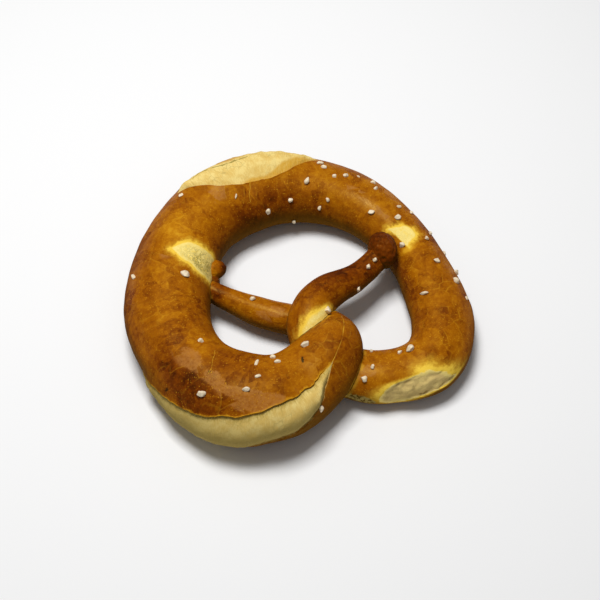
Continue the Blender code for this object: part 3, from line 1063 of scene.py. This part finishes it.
# The salt.
# Coarse white baking salt, strewn by hand on the wet dough before baking, in rounded lumps 2 to 4 mm
# across that are half sunk in the crust.
SALT = [    # distance along, angle, length and width in mm, and turn in degrees
    # arm under the knob, and the pale marks
    (9, 109, 2.4, 2, 30),
    (14, 110, 2.9, 2.4, 10),
    (24, 164, 2.6, 2.2, 70),
    (50, 144, 3.7, 3.2, 15),
    (193, 119, 3.3, 2.8, 40),
    # right lobe
    (95, 57, 3, 2.8, 0),
    (97, 132, 2, 1.6, 80),
    (98, 84, 2.3, 1.9, 60),
    (112, 114, 2.3, 2.1, 0),
    (118, 112, 3.9, 3.4, 50),
    (157, 34, 2.4, 1.6, 10),
    (161, 120, 3.8, 1.9, 75),
    (165, 51, 3.7, 3, 25),
    (172, 26, 2.7, 2.2, 60),
    (177, 73, 3, 2.7, 30),
    (191, 65, 2.4, 2.2, 0),
    (195, 39, 1.8, 1.6, 0),
    # belly
    (208, 47, 2.2, 1.7, 20),
    (208, 88, 3, 2.8, 45),
    (213, 65, 2.6, 1.5, 65),
    (220, 117, 3, 2.4, 70),
    (227, 67, 2.5, 2, 85),
    (230, 55, 2.7, 2.2, 10),
    (237, 63, 1.6, 1.4, 0),
    (242, 77, 2.6, 2.3, 20),
    (246, 134, 2.1, 2, 30),
    (247, 88, 2.4, 2.2, 60),
    (250, 153, 2.7, 1.5, 85),
    (253, 74, 2.8, 2.3, 40),
    (255, 65, 3.2, 2.6, 15),
    (260, 109, 3.5, 2.5, 65),
    (266, 192, 2.1, 2, 0),
    (269, 143, 2.5, 2.1, 20),
    (285, 158, 3, 2.6, 80),
    (302, 119, 2.5, 1.2, 50),
    (320, 60, 2.8, 1.9, 10),
    # left lobe
    (364, 38, 2.8, 2.2, 30),
    (364, 116, 4.2, 3, 65),
    (410, 110, 3, 2.1, 80),
    (427.5, 54, 4.4, 3.2, 20),
    (442, 75, 3.5, 2.1, 10),
    (445, 114, 5.2, 1.7, 72),
    (446, 93, 3.4, 1.4, 25),
    (456, 126, 2.9, 2.4, 30),
    (457, 113, 3.1, 2.3, 10),
    (465, 22, 3, 2.3, 60),
    (481, 117, 4, 3.4, 80),
    # thin arm
    (545, 78, 2.6, 2.3, 20),
    # far side of the belly
    (187, 0, 2.9, 2.3, 75),
    (228, 9, 3.1, 2.4, 35),
    (243, 4, 2.5, 1.9, 60),
    (330, -2, 2.7, 2.2, 15),
]
GRAIN_SINK = 0.42
SALT_SEED = 40
SALT_FACETS = 7
FACET_DEPTH = (0.30, 0.42)      # how far out the broken faces of a grain lie, its radius being 0.5
GRAIN_SWELL = 1.1
GRAIN_LUMPS = (0.35, 1.6)       # how strong and how close the noise is that lumps a grain
GRAIN_CHIPS = (0.12, 6.0)       # and the finer noise of its chipped faces
FRAME_STEP, FRAME_TURN = 0.3 * MM, 0.02
facet_numbers = np.random.default_rng(SALT_SEED)


def grain_frame(place, angle):
    """Point on the crust, and the directions out, along and across there."""
    nearby = [(place, angle), (place + FRAME_STEP, angle), (place, angle + FRAME_TURN)]
    places, angles = np.array(nearby).T
    here, ahead, beside = rope_surface(places, angles, crust_relief(places, angles))
    forward = Vector(ahead - here).normalized()
    out = Vector(beside - here).cross(forward).normalized()
    middle = Vector(read_along(centres, np.array([place]))[0])
    if out.dot(Vector(here) - middle) < 0:
        out = -out
    return Vector(here), out, forward, out.cross(forward)


def salt_grain(bm, row, number):
    """One lump of salt, sunk into the crust at its place."""
    place, angle, length, width, turn = row
    here, out, forward, across = grain_frame(place * MM, math.radians(angle))
    made = bmesh.ops.create_icosphere(bm, subdivisions=3, radius=0.5)["verts"]
    seed = Vector((SALT_SEED + number * 3.7, 0, 0))
    (lumps, close), (chips, chips_close) = GRAIN_LUMPS, GRAIN_CHIPS
    swing = math.radians(turn)
    long_way = forward * math.cos(swing) + across * math.sin(swing)
    side_way = across * math.cos(swing) - forward * math.sin(swing)
    height = min(length, width)
    facets = [
        (Vector(facet_numbers.normal(size=3)).normalized(), facet_numbers.uniform(*FACET_DEPTH))
        for _ in range(SALT_FACETS)
    ]
    for vert in made:
        lump = vert.co * (GRAIN_SWELL + lumps * noise.noise(vert.co * close + seed))
        for direction, depth in facets:
            lump = lump - direction * max(0.0, lump.dot(direction) - depth)
        lump = lump * (1 + chips * noise.noise(lump * chips_close + seed))
        offset = long_way * lump.x * length + side_way * lump.y * width
        vert.co = here + (offset + out * (lump.z + 0.5 - GRAIN_SINK) * height) * MM


SALT_STOPS = [(0.3, (0.64, 0.51, 0.32, 1)), (0.65, (0.88, 0.75, 0.54, 1))]


def salt_white():
    """Baked salt: off-white, cloudy, faintly glassy."""
    material, tree, shader = new_material("baked_salt")
    white = ramp(tree, grain(tree, 1.2, detail=4.0), SALT_STOPS)
    tree.links.new(white, shader.inputs["Base Color"])
    shader.inputs["Roughness"].default_value = 0.5
    bump = shader_node(tree, "Bump", {"Height": grain(tree, 0.5), "Distance": 0.08 * MM})
    tree.links.new(bump.outputs["Normal"], shader.inputs["Normal"])
    return material


grains = bmesh.new()
for number, row in enumerate(SALT):
    salt_grain(grains, row, number)
for face in grains.faces:
    face.smooth = True
salt = placed("salt_grains", mesh_from(grains, "salt_grains"))
salt.data.materials.append(salt_white())
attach(salt, "root")

# The studio.
# A plain pale table top under one broad overhead softbox, with weaker light all round.
FLOOR_SIZE = 6.0
FLOOR_PALE = (0.88, 0.88, 0.88, 1)
SOFTBOX_PLACE, SOFTBOX_SIZE, SOFTBOX_POWER = (-0.08, 0.16, 0.86), 0.34, 7.3
ROOM_GLOW = 0.2


def table_top():
    """A plain pale floor."""
    bm = bmesh.new()
    bmesh.ops.create_grid(bm, x_segments=1, y_segments=1, size=FLOOR_SIZE / 2)
    floor = placed("table_top", mesh_from(bm, "table_top"))
    material, _, shader = new_material("pale_table")
    shader.inputs["Base Color"].default_value = FLOOR_PALE
    shader.inputs["Roughness"].default_value = 0.9
    floor.data.materials.append(material)
    return floor


table_top()


light = bpy.data.lights.new("overhead_softbox", "AREA")
light.size = SOFTBOX_SIZE
light.energy = SOFTBOX_POWER
softbox = placed("overhead_softbox", light)
softbox.location = SOFTBOX_PLACE
softbox.rotation_euler = (-Vector(SOFTBOX_PLACE)).to_track_quat("-Z", "Y").to_euler()
world = bpy.data.worlds.new("white_room")
world.use_nodes = True
glow = world.node_tree.nodes["Background"].inputs
glow["Color"].default_value = (1, 1, 1, 1)
glow["Strength"].default_value = ROOM_GLOW
bpy.context.scene.world = world
bpy.context.scene.view_settings.view_transform = "Standard"

# The camera.
# A long lens from the front and above, looking down on the pretzel as it lies on the table.
CAMERA_TARGET = Vector((0.0043, -0.0001, 0.0))
CAMERA_DISTANCE = 0.60
CAMERA_AZIMUTH, CAMERA_ELEVATION = math.radians(-15), math.radians(55)
LENS = 74.1

camera_data = bpy.data.cameras.new("camera")
camera_data.lens = LENS
camera_data.clip_start = 0.01
camera = placed("camera", camera_data)
camera.rotation_euler = (math.pi / 2 - CAMERA_ELEVATION, 0, CAMERA_AZIMUTH)
back = camera.rotation_euler.to_matrix() @ Vector((0, 0, CAMERA_DISTANCE))
camera.location = CAMERA_TARGET + back
bpy.context.scene.camera = camera
